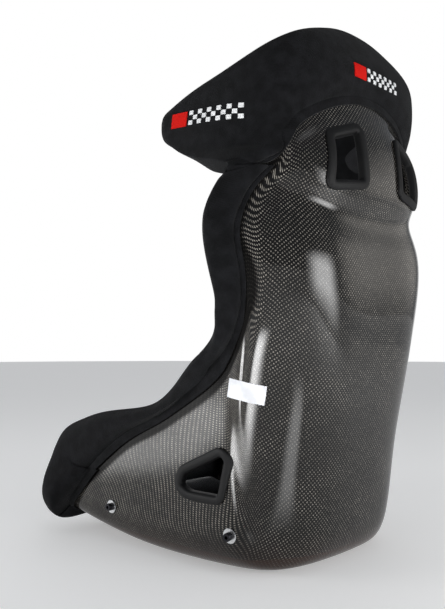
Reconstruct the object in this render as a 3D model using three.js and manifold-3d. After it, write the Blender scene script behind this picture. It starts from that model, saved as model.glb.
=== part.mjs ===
// Racing seat with a head restraint: a one-piece composite bucket shell, padded rim, cushions,
// harness slots and side mounts. Millimetres, +Z up, +X the sitter's left, -Y forwards.
// The origin is the middle of the flat base, halfway between the side-mount bolts.
import * as THREE from 'three';
import { mergeVertices } from 'three/addons/utils/BufferGeometryUtils.js';
import Module from 'manifold-3d';

const wasm = await Module();
wasm.setup();

// ---- driving dimensions (mm) ----
const WALL = 5;                 // laminate thickness
const GAP = 2;                  // clearance between the laminate and what lies on it
const BASE_PLANE = 0;           // the bottom is moulded flat at this height
const BOLT_SPACING = 290;       // side-mount bolts, centre to centre
const BOLT_HEIGHT = 66;         // side-mount bolts above the base
const BOLT_HOLE = 9;            // clearance hole for an M8 screw
const WASHER_DIAMETER = 24;
const HEAD_DIAMETER = 13;       // M8 socket cap screw
const HEAD_HEIGHT = 8;
const SHANK_DIAMETER = 8;
const FLANGE = 12;              // width of a slot bezel around its hole
const SLEEVE = 2.5;             // wall of the bezel's sleeve
const STATIONS = 25;            // last station number along the shell
const HALF = 7;                 // last column number from the spine to the rim
const HEM = 21;                 // station of the head cover's lower hem
const SEAM_HEIGHT = 631;        // the body roll meets the head wing at this height
const ROLL_NOSE = 12;           // how far the padded roll stands past the laminate's edge

// The shell's outer surface. Each station runs from the spine out to the left rim, and the
// right side is its mirror image. A point is [x, y, z].
const shellStations = [
  [[0, -300, 40], [70, -300, 40], [135, -300, 40], [180, -300, 43],
    [204, -300, 62], [207, -299, 92], [207, -292, 124], [208, -276, 152]],
  [[0, -262, 30], [70, -262, 30], [135, -262, 30], [180, -262, 33],
    [204, -262, 54], [207, -258, 90], [207, -240, 132], [208, -222, 178]],
  [[0, -195, 17], [70, -195, 17], [135, -195, 17], [178, -195, 21],
    [203, -195, 43], [207, -192, 88], [207, -185, 160], [209, -172, 205]],
  [[0, -100, 4], [70, -100, 4], [135, -100, 4], [176, -100, 8],
    [203, -100, 32], [207, -100, 86], [207, -98, 191], [209, -92, 228]],
  [[0, 0, 0], [70, 0, 0], [132, 0, 0], [173, 0, 4],
    [203, 0, 30], [207, -1, 88], [207.5, -5, 218], [211, -15, 248]],
  [[0, 90, 0], [70, 90, 0], [128, 90, 0], [168, 90, 5],
    [202, 90, 33], [207, 88, 98], [211, 65, 264], [219, 48, 284]],
  [[0, 165, 0], [66, 165, 0], [120, 163, 2], [163, 158, 9],
    [199, 157, 40], [208, 142, 114], [218, 112, 305], [226, 94, 317]],
  [[0, 210, 8], [60, 209, 9], [108, 203, 11], [151, 189, 20],
    [187, 174, 60], [207, 149, 166], [220, 145, 332], [228, 122, 341]],
  [[0, 238, 44], [58, 236, 44], [106, 229, 47], [149, 208, 58],
    [185, 178, 96], [206, 155, 212], [221, 165, 352], [231, 142, 360]],
  [[0, 250, 115], [58, 248, 115], [107, 241, 118], [149, 219, 126],
    [188, 182, 156], [208, 165, 256], [222, 180, 371], [234, 153, 378]],
  [[0, 260, 190], [58, 259, 190], [108, 251, 193], [150, 228, 199],
    [198, 181, 220], [209, 173, 298], [223, 190, 390], [237, 158, 396]],
  [[0, 272, 270], [58, 272, 270], [109, 266, 272], [152, 244, 277],
    [202, 195, 298], [212, 188, 342], [225, 193, 407], [240, 160, 411]],
  [[0, 283, 343], [60, 283, 343], [111, 279, 345], [155, 258, 350],
    [205, 215, 368], [217, 201, 392], [227, 195, 425], [243, 164, 429]],
  [[0, 289, 410], [60, 290, 410], [114, 287, 411], [158, 270, 415],
    [200, 234, 425], [219, 211, 434], [233, 195, 446], [250, 166, 449]],
  [[0, 291, 465], [60, 292, 465], [117, 290, 465], [161, 276, 468],
    [203, 240, 473], [225, 214, 478], [241, 192, 484], [259, 163, 486]],
  [[0, 289, 512], [60, 290, 512], [118, 288, 512], [163, 275, 513],
    [206, 238, 516], [230, 210, 519], [247, 188, 522], [265, 160, 524]],
  [[0, 283, 545], [60, 283, 545], [115, 281, 546], [159, 268, 549],
    [201, 233, 553], [226, 205, 556], [243, 184, 558], [262, 158, 559]],
  [[0, 284, 572], [60, 283, 572], [110, 278, 575], [146, 265, 580],
    [187, 234, 586], [211, 207, 590], [228, 188, 593], [250, 158, 594]],
  [[0, 300, 602], [58, 299, 602], [108, 293, 604], [141, 280, 607],
    [177, 250, 611], [198, 226, 613], [216, 203, 614], [241, 163, 612]],
  [[0, 299, 655], [57, 297, 655], [106, 292, 653], [142, 281, 650],
    [172, 261, 643], [188, 240, 637], [203, 220, 632], [239, 168, 622]],
  [[0, 293, 708], [56, 290, 706], [106, 281, 698], [143, 270, 686],
    [172, 254, 668], [187, 240, 657], [201, 226, 648], [238, 171, 629]],
  [[0, 274, 757], [52, 273, 750], [99, 265, 735], [140, 253, 712],
    [168, 245, 689], [187, 236, 672], [202, 228, 658], [237, 171, 634]],
  [[0, 280, 800], [58, 279, 795], [115, 273, 780], [163, 255, 759],
    [198, 224, 735], [213, 174, 708], [215, 120, 681], [215, 74, 666]],
  [[0, 272, 835], [60, 271, 831], [118, 267, 817], [173, 252, 796],
    [204, 214, 771], [212, 145, 748], [212, 78, 724], [209, 22, 697]],
  [[0, 260, 862], [60, 259, 858], [116, 260, 846], [176, 249, 825],
    [203, 210, 800], [210, 135, 780], [209, 66, 756], [206, 4, 725]],
  [[0, 248, 880], [58, 248, 875], [109, 248, 860], [162, 245, 840],
    [198, 214, 818], [207, 142, 794], [207, 66, 777], [205, 3, 756]],
];

// ---- colours and finishes ----
const finishes = {
  carbon: { color: 0x2b2927, roughness: 0.18, metalness: 0.0 },
  fabric: { color: 0x1b1c1e, roughness: 0.95, metalness: 0.0 },
  plastic: { color: 0x3b3b39, roughness: 0.5, metalness: 0.0 },
  steel: { color: 0xb9bcc0, roughness: 0.3, metalness: 1.0 },
  blackSteel: { color: 0x1d1d20, roughness: 0.4, metalness: 1.0 },
  label: { color: 0xdedfe0, roughness: 0.5, metalness: 0.0 },
  thread: { color: 0xc8281c, roughness: 0.7, metalness: 0.0 },
};

// ---- the surface: a uniform cubic spline net that passes close to its stations ----
const mirrored = shellStations.map((station) => [
  ...station.slice().reverse(),
  ...station.slice(1).map(([x, y, z]) => [-x, y, z]),
]);

// Pushes each inner point away from its neighbours' mean, so that the smooth spline, which
// cuts corners, comes back to the station's own points.
function sharpened(row) {
  return row.map((point, i) => {
    if (i === 0 || i === row.length - 1) return point;
    return point.map((p, k) => p - (row[i - 1][k] - 2 * p + row[i + 1][k]) / 6);
  });
}

// One straight step past each end, which makes the spline start and end on the net's border.
function extended(row) {
  const past = (a, b) => a.map((p, k) => 2 * p - b[k]);
  const n = row.length;
  return [past(row[0], row[1]), ...row, past(row[n - 1], row[n - 2])];
}

const transposed = (grid) => grid[0].map((_, j) => grid.map((row) => row[j]));
const smoothAlong = (grid) => grid.map((row) => sharpened(row));
const sharpNet = transposed(smoothAlong(transposed(smoothAlong(mirrored))));
const net = transposed(transposed(sharpNet.map(extended)).map(extended));

const weights = (t) => [
  (1 - t) ** 3 / 6,
  (3 * t ** 3 - 6 * t ** 2 + 4) / 6,
  (-3 * t ** 3 + 3 * t ** 2 + 3 * t + 1) / 6,
  t ** 3 / 6,
];
const slopes = (t) => [
  -((1 - t) ** 2) / 2,
  (3 * t ** 2 - 4 * t) / 2,
  (-3 * t ** 2 + 2 * t + 1) / 2,
  t ** 2 / 2,
];

function blend(u, column, weightU, weightV) {
  const row = Math.min(Math.max(Math.floor(u), 0), STATIONS - 1);
  const col = Math.min(Math.max(Math.floor(column), 0), 2 * HALF - 1);
  const a = weightU(u - row);
  const b = weightV(column - col);
  const sum = new THREE.Vector3();
  for (let i = 0; i < 4; i++) {
    for (let j = 0; j < 4; j++) {
      sum.addScaledVector(new THREE.Vector3(...net[row + i][col + j]), a[i] * b[j]);
    }
  }
  return sum;
}

// u runs along the stations, v from -HALF (right rim) to HALF (left rim), w is the height
// above the outer surface.
function surface(u, v) {
  const point = blend(u, HALF - v, weights, weights);
  point.z = Math.max(point.z, BASE_PLANE);
  return point;
}
const alongU = (u, v) => blend(u, HALF - v, slopes, weights);
const alongV = (u, v) => blend(u, HALF - v, weights, slopes).negate();
const outward = (u, v) => alongU(u, v).cross(alongV(u, v)).normalize();
const skin = (u, v, w) => surface(u, v).addScaledVector(outward(u, v), w);

// The (u, v) of the surface point with the two given coordinates, from a nearby guess.
function locate([axisA, axisB], [a, b], [u, v]) {
  for (let step = 0; step < 12; step++) {
    const p = surface(u, v);
    const du = alongU(u, v);
    const dv = alongV(u, v);
    const ea = a - p[axisA];
    const eb = b - p[axisB];
    const det = du[axisA] * dv[axisB] - du[axisB] * dv[axisA];
    u += (ea * dv[axisB] - eb * dv[axisA]) / det;
    v += (du[axisA] * eb - du[axisB] * ea) / det;
  }
  return [u, v];
}

// ---- meshes ----
const range = (from, to, steps) =>
  Array.from({ length: steps + 1 }, (_, i) => from + ((to - from) * i) / steps);

function bufferMesh(points, triangles) {
  const geometry = new THREE.BufferGeometry();
  const flat = points.flatMap((p) => [p.x, p.y, p.z]);
  geometry.setAttribute('position', new THREE.Float32BufferAttribute(flat, 3));
  geometry.setIndex(triangles);
  return facingOut(geometry);
}

// Turns every triangle round where the closed mesh encloses a negative volume.
function facingOut(geometry) {
  const p = geometry.attributes.position;
  const index = Array.from(geometry.index.array);
  const [a, b, c] = [new THREE.Vector3(), new THREE.Vector3(), new THREE.Vector3()];
  let volume = 0;
  for (let i = 0; i < index.length; i += 3) {
    a.fromBufferAttribute(p, index[i]);
    b.fromBufferAttribute(p, index[i + 1]);
    c.fromBufferAttribute(p, index[i + 2]);
    volume += a.dot(b.cross(c));
  }
  if (volume < 0) {
    for (let i = 0; i < index.length; i += 3) {
      [index[i], index[i + 1]] = [index[i + 1], index[i]];
    }
    geometry.setIndex(index);
  }
  return geometry;
}

// A closed solid through equal closed sections. An open run gets a fan at each end.
function loft(sections, { ring = false } = {}) {
  const n = sections[0].length;
  const points = sections.flat();
  const triangles = [];
  const spans = ring ? sections.length : sections.length - 1;
  for (let s = 0; s < spans; s++) {
    const next = (s + 1) % sections.length;
    for (let k = 0; k < n; k++) {
      const k2 = (k + 1) % n;
      const [a, b, c, d] = [s * n + k, s * n + k2, next * n + k2, next * n + k];
      triangles.push(a, b, c, a, c, d);
    }
  }
  if (!ring) {
    const cap = (start, flip) => {
      for (const [i, j, k] of capTriangles(points.slice(start, start + n))) {
        triangles.push(start + i, start + (flip ? k : j), start + (flip ? j : k));
      }
    };
    cap(0, true);
    cap((sections.length - 1) * n, false);
  }
  return bufferMesh(points, triangles);
}

// Triangulates a closed section by closing it like a zip, from its first and last points.
function capTriangles(section) {
  const triangles = [];
  let i = 0;
  let j = section.length - 1;
  while (j - i > 1) {
    const forwards = section[i + 1].distanceTo(section[j]);
    const backwards = section[i].distanceTo(section[j - 1]);
    if (forwards < backwards) {
      triangles.push([i, i + 1, j]);
      i += 1;
    } else {
      triangles.push([i, j - 1, j]);
      j -= 1;
    }
  }
  return triangles;
}

// A solid that lies along the shell between two heights above its outer surface.
function blanket([u0, u1, nu], [v0, v1, nv], top, bottom) {
  const us = range(u0, u1, nu);
  const vs = range(v0, v1, nv);
  const points = [];
  for (const height of [top, bottom]) {
    for (const u of us) {
      for (const v of vs) points.push(skin(u, v, height(u, v)));
    }
  }
  const columns = nv + 1;
  const layer = (nu + 1) * columns;
  const at = (side, i, j) => side * layer + i * columns + j;
  const triangles = [];
  const quad = (a, b, c, d) => triangles.push(a, b, c, a, c, d);
  for (let i = 0; i < nu; i++) {
    for (let j = 0; j < nv; j++) {
      quad(at(0, i, j), at(0, i, j + 1), at(0, i + 1, j + 1), at(0, i + 1, j));
      quad(at(1, i, j), at(1, i + 1, j), at(1, i + 1, j + 1), at(1, i, j + 1));
    }
    quad(at(0, i, 0), at(0, i + 1, 0), at(1, i + 1, 0), at(1, i, 0));
    quad(at(0, i + 1, nv), at(0, i, nv), at(1, i, nv), at(1, i + 1, nv));
  }
  for (let j = 0; j < nv; j++) {
    quad(at(0, 0, j + 1), at(0, 0, j), at(1, 0, j), at(1, 0, j + 1));
    quad(at(0, nu, j), at(0, nu, j + 1), at(1, nu, j + 1), at(1, nu, j));
  }
  return bufferMesh(points, triangles);
}

function toSolid(geometry) {
  const bare = geometry.clone();
  bare.deleteAttribute('normal');
  bare.deleteAttribute('uv');
  const merged = mergeVertices(bare, 1e-4);
  return new wasm.Manifold(new wasm.Mesh({
    numProp: 3,
    vertProperties: new Float32Array(merged.attributes.position.array),
    triVerts: new Uint32Array(merged.index.array),
  }));
}

function fromSolid(solid) {
  const mesh = solid.getMesh();
  const geometry = new THREE.BufferGeometry();
  geometry.setAttribute('position', new THREE.Float32BufferAttribute(mesh.vertProperties, 3));
  geometry.setIndex(Array.from(mesh.triVerts));
  return geometry;
}

const seat = new THREE.Group();

function add(name, geometry, finish) {
  geometry.computeVertexNormals();
  const mesh = new THREE.Mesh(geometry, new THREE.MeshStandardMaterial(finishes[finish]));
  mesh.name = name;
  seat.add(mesh);
  return mesh;
}

// ---- outlines on the shell ----
// A polygon whose corners are rounded by short arcs, as [a, b] pairs.
function roundedOutline(corners, radius, arcSteps) {
  return corners.flatMap((corner, i) => {
    const here = new THREE.Vector2(...corner);
    const before = new THREE.Vector2(...corners[(i + corners.length - 1) % corners.length]);
    const after = new THREE.Vector2(...corners[(i + 1) % corners.length]);
    const back = before.clone().sub(here);
    const on = after.clone().sub(here);
    const reach = Math.min(radius, back.length() * 0.45, on.length() * 0.45);
    const start = here.clone().addScaledVector(back.normalize(), reach);
    const end = here.clone().addScaledVector(on.normalize(), reach);
    const curve = new THREE.QuadraticBezierCurve(start, here, end);
    return curve.getPoints(arcSteps).map((p) => [p.x, p.y]);
  });
}

// The outline moved outwards, away from its middle, by a distance along its own normals.
function grown(outline, distance) {
  const n = outline.length;
  const twiceArea = outline.reduce((sum, [x, y], i) => {
    const [x2, y2] = outline[(i + 1) % n];
    return sum + x * y2 - x2 * y;
  }, 0);
  const side = Math.sign(twiceArea);
  return outline.map(([x, y], i) => {
    const [xa, ya] = outline[(i + n - 1) % n];
    const [xb, yb] = outline[(i + 1) % n];
    const length = Math.hypot(xb - xa, yb - ya);
    return [x + (side * distance * (yb - ya)) / length, y - (side * distance * (xb - xa)) / length];
  });
}

// Each slot is drawn in the plane that it faces, on the sitter's left or on the centre line.
const shoulderSlot = {
  axes: ['x', 'z'],
  guess: [19, 1.8],
  outline: roundedOutline([[59, 703], [58, 618], [127, 609], [120, 683]], 9, 2),
};
const lapSlot = {
  axes: ['y', 'z'],
  guess: [5.5, 5.3],
  outline: roundedOutline([[35, 130], [44, 151], [132, 190], [143, 181], [125, 121], [56, 120]], 8, 2),
};
const strapSlot = {
  axes: ['x', 'y'],
  guess: [2.4, 0],
  outline: roundedOutline([[-42, -128], [42, -128], [42, -152], [-42, -152]], 10, 2),
};

function onShell(slot, [a, b], w, side) {
  const [u, v] = locate(slot.axes, [a, b], slot.guess);
  return skin(u, v * side, w);
}

function slotSections(slot, side, profile) {
  const rims = profile.map(([grow]) => grown(slot.outline, grow));
  return slot.outline.map((_, i) =>
    profile.map(([, height], k) => onShell(slot, rims[k][i], height, side)));
}

function slotCutter(slot, side) {
  const levels = [GAP * 4, -WALL / 2, -WALL - GAP * 4];
  return loft(levels.map((w) => slot.outline.map((p) => onShell(slot, p, w, side))));
}

const bezelOutside = [
  [FLANGE, GAP + 0.8], [FLANGE, GAP + 1.8], [FLANGE - 2, GAP + 3], [0, GAP + 3],
  [-0.5 - SLEEVE, GAP + 2], [-0.5 - SLEEVE, -WALL - 1], [-0.5, -WALL - 1], [-0.5, GAP + 0.8],
];
const bezelInside = [
  [FLANGE - 2, -WALL - 1.5], [-0.5 - SLEEVE, -WALL - 1.5],
  [-0.5 - SLEEVE, -WALL - 4], [FLANGE - 4, -WALL - 4], [FLANGE - 2, -WALL - 3],
];

// ---- the side-mount bolts ----
function boltFrame(y, side) {
  const [u, v] = locate(['y', 'z'], [y, BOLT_HEIGHT], [y < 0 ? 2.5 : 5.8, 4.7]);
  const origin = surface(u, v * side);
  const axis = outward(u, v * side);
  const turn = new THREE.Quaternion().setFromUnitVectors(new THREE.Vector3(0, 1, 0), axis);
  return { origin, axis, turn };
}

// A turned piece on a bolt's axis. Its profile is [radius, height above the shell].
function onBolt(y, side, profile, segments = 12) {
  const { origin, turn } = boltFrame(y, side);
  const outline = profile.map(([radius, height]) => new THREE.Vector2(radius, height));
  const geometry = mergeVertices(stripped(new THREE.LatheGeometry(outline, segments)), 1e-4);
  geometry.applyQuaternion(turn);
  geometry.translate(origin.x, origin.y, origin.z);
  return facingOut(dropSlivers(geometry));
}

function stripped(geometry) {
  geometry.deleteAttribute('normal');
  geometry.deleteAttribute('uv');
  return geometry;
}

// A lathe leaves triangles without area where its profile meets the axis.
function dropSlivers(geometry) {
  const index = geometry.index.array;
  const kept = [];
  for (let i = 0; i < index.length; i += 3) {
    const [a, b, c] = [index[i], index[i + 1], index[i + 2]];
    if (a !== b && b !== c && c !== a) kept.push(a, b, c);
  }
  geometry.setIndex(kept);
  return geometry;
}

const boltPlaces = [
  { end: 'front', y: -BOLT_SPACING / 2 },
  { end: 'rear', y: BOLT_SPACING / 2 },
];
const sides = [
  { name: 'left', side: 1 },
  { name: 'right', side: -1 },
];

// ---- the shell ----
function makeShell() {
  const laminate = blanket([0, STATIONS, 50], [-HALF, HALF, 28], () => 0, () => -WALL);
  let solid = toSolid(laminate);
  for (const { side } of sides) {
    solid = solid.subtract(toSolid(slotCutter(shoulderSlot, side)));
    solid = solid.subtract(toSolid(slotCutter(lapSlot, side)));
    for (const { y } of boltPlaces) {
      const r = BOLT_HOLE / 2;
      const drill = [[0, -20], [r, -20], [r, 20], [0, 20]];
      solid = solid.subtract(toSolid(onBolt(y, side, drill)));
    }
  }
  solid = solid.subtract(toSolid(slotCutter(strapSlot, 1)));
  add('seat_shell', fromSolid(solid), 'carbon');
}

// ---- the padded rim ----
// A place on the laminate's edge: where it is, and the step in (u, v) that leads inwards.
function edgePlace(t) {
  // t from 0 (spine, front lip) along the front edge, up the side and over the head restraint
  const corner = HALF;
  const tip = HALF + STATIONS;
  if (t <= corner) return { u: 0, v: t, inward: [1, 0] };
  if (t <= tip) return { u: t - corner, v: HALF, inward: [0, -1] };
  return { u: STATIONS, v: HALF - (t - tip), inward: [-1, 0] };
}

// The section of the roll at t: points inwards are steps along the net, points outwards are
// millimetres past the edge, square to the edge and in the laminate's own plane.
function rollSection(t, side, profile) {
  const place = edgePlace(t);
  const before = edgePlace(t - 0.25);
  const after = edgePlace(t + 0.25);
  const inward = before.inward.map((p, k) => (p + after.inward[k]) / 2);
  const isCorner = before.inward[0] !== after.inward[0];
  const reach = isCorner ? 2 : 1;
  const tangent = skin(after.u, after.v * side, 0).sub(skin(before.u, before.v * side, 0));
  const normal = outward(place.u, place.v * side);
  const across = normal.clone().cross(tangent).normalize().multiplyScalar(side);
  return profile.map(([step, past, height]) => {
    const u = place.u + inward[0] * step * reach;
    const v = place.v + inward[1] * step * reach;
    return skin(u, v * side, height).addScaledVector(across, past);
  });
}

// [net steps inwards from the edge, mm past the edge, mm above the outer surface]
function rollProfile({ leg, nose, outer, inner, innerLeg, gap = GAP }) {
  const under = -WALL - gap;
  const middle = -WALL / 2;
  const deep = under - inner;
  return [
    [leg, 0, gap], [leg, 0, gap + outer * 0.6], [leg * 0.5, 0, gap + outer],
    [0, nose * 0.45, gap + outer * 0.8], [0, nose, middle], [0, nose * 0.55, deep * 0.8],
    [innerLeg * 0.5, 0, deep], [innerLeg, 0, deep * 0.75], [innerLeg, 0, under],
    [innerLeg * 0.5, 0, under], [0, 0, under], [0, gap, under],
    [0, gap, gap], [0, 0, gap], [leg * 0.5, 0, gap],
  ];
}

const mix = (a, b, t) => a + (b - a) * Math.min(Math.max(t, 0), 1);

// The front of the roll is fat, where it carries the thighs, and thins out up the side.
function bodyRoll(t) {
  const up = (t - HALF) / 4;
  const corner = (t - 3.5) / 2;
  return rollProfile({
    leg: mix(0.6, 1, corner),
    nose: mix(26, 42, corner) - mix(0, 42 - ROLL_NOSE, up),
    outer: mix(8, 13, corner) - mix(0, 4, up),
    inner: mix(24, 11, up),
    innerLeg: 1,
  });
}

function lipRoll() {
  return rollProfile({ leg: 0.6, nose: 26, outer: 8, inner: 24, innerLeg: 0.8 });
}

function headRoll() {
  return rollProfile({ leg: 0.5, nose: 9, outer: 5, inner: 20, innerLeg: 0.6, gap: 3 });
}

const rollSteps = (from, to, per) =>
  range(from, to, Math.round((to - from) * per));

function makeRolls() {
  const lipEnd = 3.5;
  for (const { name, side } of sides) {
    const body = rollSteps(lipEnd + 0.25, HALF + 20.6, 2);
    const whole = toSolid(loft(body.map((t) => rollSection(t, side, bodyRoll(t)))));
    add(`rim_roll_${name}`, fromSolid(whole.trimByPlane([0, 0, -1], -SEAM_HEIGHT)), 'fabric');
  }
  const half = rollSteps(0, lipEnd, 2);
  const left = half.map((t) => rollSection(t, 1, lipRoll()));
  const right = half.slice(1).reverse().map((t) => rollSection(t, -1, lipRoll()));
  add('front_lip_roll', loft([...right, ...left]), 'fabric');

  const run = rollSteps(HALF + 21, HALF + STATIONS + HALF, 2);
  const leftRun = run.map((t) => rollSection(t, 1, headRoll()));
  const rightRun = run.slice(0, -1).reverse().map((t) => rollSection(t, -1, headRoll()));
  const gusset = toSolid(loft([...leftRun, ...rightRun]));
  add('head_rim_gusset', fromSolid(gusset.trimByPlane([0, 0, 1], SEAM_HEIGHT + 0.3)), 'fabric');
}

makeShell();
makeRolls();

// ---- slot bezels and side-mount hardware ----
for (const { name, side } of sides) {
  const slots = [['shoulder', shoulderSlot], ['lap', lapSlot]];
  for (const [label, slot] of slots) {
    const outside = loft(slotSections(slot, side, bezelOutside), { ring: true });
    const inside = loft(slotSections(slot, side, bezelInside), { ring: true });
    add(`${label}_slot_bezel_${name}`, outside, 'plastic');
    add(`${label}_slot_trim_${name}`, inside, 'plastic');
  }
  for (const { end, y } of boltPlaces) {
    const hole = SHANK_DIAMETER / 2 + 0.4;
    const rim = WASHER_DIAMETER / 2;
    const washer = [[hole, 0.4], [rim, 0.4], [rim, 2.2], [hole, 2.2], [hole, 0.4]];
    const head = HEAD_DIAMETER / 2;
    const screw = [
      [0, -20], [SHANK_DIAMETER / 2, -20], [SHANK_DIAMETER / 2, 2.6], [head, 2.6],
      [head, 2 + HEAD_HEIGHT], [head - 0.8, 2.6 + HEAD_HEIGHT], [3.4, 2.6 + HEAD_HEIGHT],
      [3.4, 6], [0, 6],
    ];
    const seatHeight = -WALL - GAP - 1.2;
    const insert = [[hole, seatHeight], [11, seatHeight], [11, seatHeight - 2], [7, seatHeight - 3],
      [7, seatHeight - 10], [hole, seatHeight - 10], [hole, seatHeight]];
    add(`mount_washer_${end}_${name}`, onBolt(y, side, washer, 18), 'steel');
    add(`mount_screw_${end}_${name}`, onBolt(y, side, screw, 12), 'blackSteel');
    add(`mount_insert_${end}_${name}`, onBolt(y, side, insert, 12), 'steel');
  }
}
add('strap_slot_bezel', loft(slotSections(strapSlot, 1, bezelOutside), { ring: true }), 'plastic');
add('strap_slot_trim', loft(slotSections(strapSlot, 1, bezelInside), { ring: true }), 'plastic');

// ---- cushions and covers ----
// 0 at either border and 1 further in than `width`, with a round shoulder between.
const edgeFade = (x, from, to, width) =>
  Math.min(1, Math.sqrt(Math.max(0, Math.min(x - from, to - x)) / width));

// A cushion on the inside of the shell: full in the middle and thin at its borders.
function cushion(name, [u0, u1, nu], [v0, v1, nv], thickness) {
  const back = -WALL - GAP;
  const front = (u, v) => {
    const crown = 0.45 + 0.55 * edgeFade(u, u0, u1, 0.8) * edgeFade(v, v0, v1, 0.8);
    return back - thickness * crown;
  };
  add(name, blanket([u0, u1, nu], [v0, v1, nv], () => back, front), 'fabric');
}

function mirroredCushion(name, us, [v0, v1, nv], thickness) {
  cushion(`${name}_left`, us, [v0, v1, nv], thickness);
  cushion(`${name}_right`, us, [-v1, -v0, nv], thickness);
}

const coverTop = () => GAP + 5;
const coverBottom = () => GAP;
add('head_cover_panel', blanket([HEM, 24.4, 7], [-6.4, 6.4, 26], coverTop, coverBottom), 'fabric');
cushion('seat_cushion_front', [1, 2, 2], [-2.6, 2.6, 8], 40);
cushion('seat_cushion_rear', [2.9, 6.6, 6], [-2.6, 2.6, 8], 34);
cushion('lumbar_cushion', [8.5, 12, 7], [-2.4, 2.4, 8], 30);
cushion('backrest_cushion', [12.4, 16.6, 8], [-2.6, 2.6, 8], 22);
cushion('head_cushion', [21.5, 24, 5], [-2.4, 2.4, 8], 30);
mirroredCushion('thigh_pad', [1.5, 4, 5], [5.15, 5.75, 2], 16);
mirroredCushion('side_pad', [12.5, 16.5, 8], [3.4, 5.7, 4], 20);
mirroredCushion('head_wing_pad', [21.8, 24, 5], [3.6, 6.2, 6], 28);


// ---- sewn marks and the label ----
// A thin rectangle that follows the shell between two heights above it. Its middle is given in
// the plane that it faces, and `tilt` turns it in that plane.
function patch(name, { axes, guess, middle, tilt, size }, [bottom, top], finish) {
  const angle = THREE.MathUtils.degToRad(tilt);
  const at = (a, b, w) => {
    const across = middle[0] + a * Math.cos(angle) - b * Math.sin(angle);
    const up = middle[1] + a * Math.sin(angle) + b * Math.cos(angle);
    const [u, v] = locate(axes, [across, up], guess);
    return skin(u, v, w);
  };
  const [half, rise] = [size[0] / 2, size[1] / 2];
  const sections = range(-half, half, 8).map((a) => [
    at(a, -rise, top), at(a, 0, top), at(a, rise, top),
    at(a, rise, bottom), at(a, 0, bottom), at(a, -rise, bottom),
  ]);
  add(name, loft(sections), finish);
}

const wingMark = { axes: ['y', 'z'], middle: [104, 729], tilt: -6, size: [160, 24] };
const rearMark = { axes: ['x', 'z'], guess: [22, 0], middle: [-4, 803], tilt: 0, size: [130, 20] };
const dateLabel = { axes: ['y', 'z'], guess: [8.4, 4.7], middle: [179, 289], tilt: -13, size: [54, 30] };
const onCover = [GAP + 6.6, GAP + 7.6];
patch('wing_mark_left', { ...wingMark, guess: [23.2, 5.6] }, onCover, 'thread');
patch('wing_mark_right', { ...wingMark, guess: [23.2, -5.6] }, onCover, 'thread');
patch('rear_mark', rearMark, onCover, 'thread');
patch('blank_label', dateLabel, [GAP + 1, GAP + 1.5], 'label');

export default seat;
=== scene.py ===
# %% [markdown]
# # A racing seat with a head restraint
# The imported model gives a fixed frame: every piece of the seat, at its real size and place. This
# notebook dresses that frame. It builds the glossy carbon shell, the padded cloth rim, the head
# cover, the cushions, the slot bezels and the mounting screws, and gives each one its finish.

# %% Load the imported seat
import math

import bpy
import numpy as np
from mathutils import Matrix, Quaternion, Vector
from mathutils.bvhtree import BVHTree


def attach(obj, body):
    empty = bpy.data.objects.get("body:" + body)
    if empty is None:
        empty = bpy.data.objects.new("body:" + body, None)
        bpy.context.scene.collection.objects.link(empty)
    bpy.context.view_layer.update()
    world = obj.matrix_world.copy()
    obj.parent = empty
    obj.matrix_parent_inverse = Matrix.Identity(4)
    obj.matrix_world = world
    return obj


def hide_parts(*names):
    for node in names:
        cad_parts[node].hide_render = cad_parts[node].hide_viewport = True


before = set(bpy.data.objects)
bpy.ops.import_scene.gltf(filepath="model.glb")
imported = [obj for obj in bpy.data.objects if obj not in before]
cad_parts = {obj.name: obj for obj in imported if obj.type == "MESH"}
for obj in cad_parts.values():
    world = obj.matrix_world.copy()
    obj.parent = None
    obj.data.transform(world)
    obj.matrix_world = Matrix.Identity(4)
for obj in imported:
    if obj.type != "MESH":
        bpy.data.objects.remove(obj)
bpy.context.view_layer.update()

MM = 0.001

# %% [markdown]
# ## The camera
# The seat is seen from behind and from the sitter's left, from a little above its middle, with a
# normal lens. The camera stands level and tips up by three degrees.

# %% Camera
CAMERA_PLACE = (1.028, 0.902, 0.366)
CAMERA_TURN = math.radians(46.8)
CAMERA_TILT = math.radians(2.95)
LENS = 42.15

bpy.ops.object.select_all(action="DESELECT")
bpy.ops.object.camera_add(
    location=CAMERA_PLACE, rotation=(math.pi / 2 + CAMERA_TILT, 0, math.pi - CAMERA_TURN)
)
camera = bpy.context.object
camera.name = "camera"
camera.data.lens = LENS
bpy.context.scene.camera = camera
print("camera at", CAMERA_PLACE)

# %% [markdown]
# ## Shader maths as Python
# The sky, the lamps and the finishes are all small graphs of nodes. The class Socket wraps one
# socket, so that `a * b + 1` adds the Math nodes by itself, and `node` makes any other node from
# its type, settings and inputs. Linking nodes one by one would hide the sums in long lists.

# %% Graphs, finishes and sockets
COLOUR_A, COLOUR_B, COLOUR_OUT = 6, 7, 2


class Graph:
    """The nodes of a world, a lamp or a material, which feed its one shader."""

    def __init__(self, owner, shader):
        owner.use_nodes = True
        self.tree = owner.node_tree
        self.shader = self.tree.nodes[shader]

    def node(self, kind, settings, inputs, output=0):
        """Adds a node: its settings first, then the values or links of its sockets."""
        made = self.tree.nodes.new(kind)
        for key, value in settings.items():
            setattr(made, key, value)
        for socket, value in inputs.items():
            if isinstance(value, Socket):
                self.tree.links.new(value.socket, made.inputs[socket])
            else:
                made.inputs[socket].default_value = value
        return Socket(self, made.outputs[output])

    def mix(self, factor, low, high):
        """A colour between two colours, each an RGBA value or a socket."""
        inputs = {0: factor, COLOUR_A: low, COLOUR_B: high}
        return self.node("ShaderNodeMix", {"data_type": "RGBA"}, inputs, COLOUR_OUT)

    def feed(self, socket, value):
        """Links a varying value to a socket of the shader."""
        self.tree.links.new(value.socket, self.shader.inputs[socket])


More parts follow.
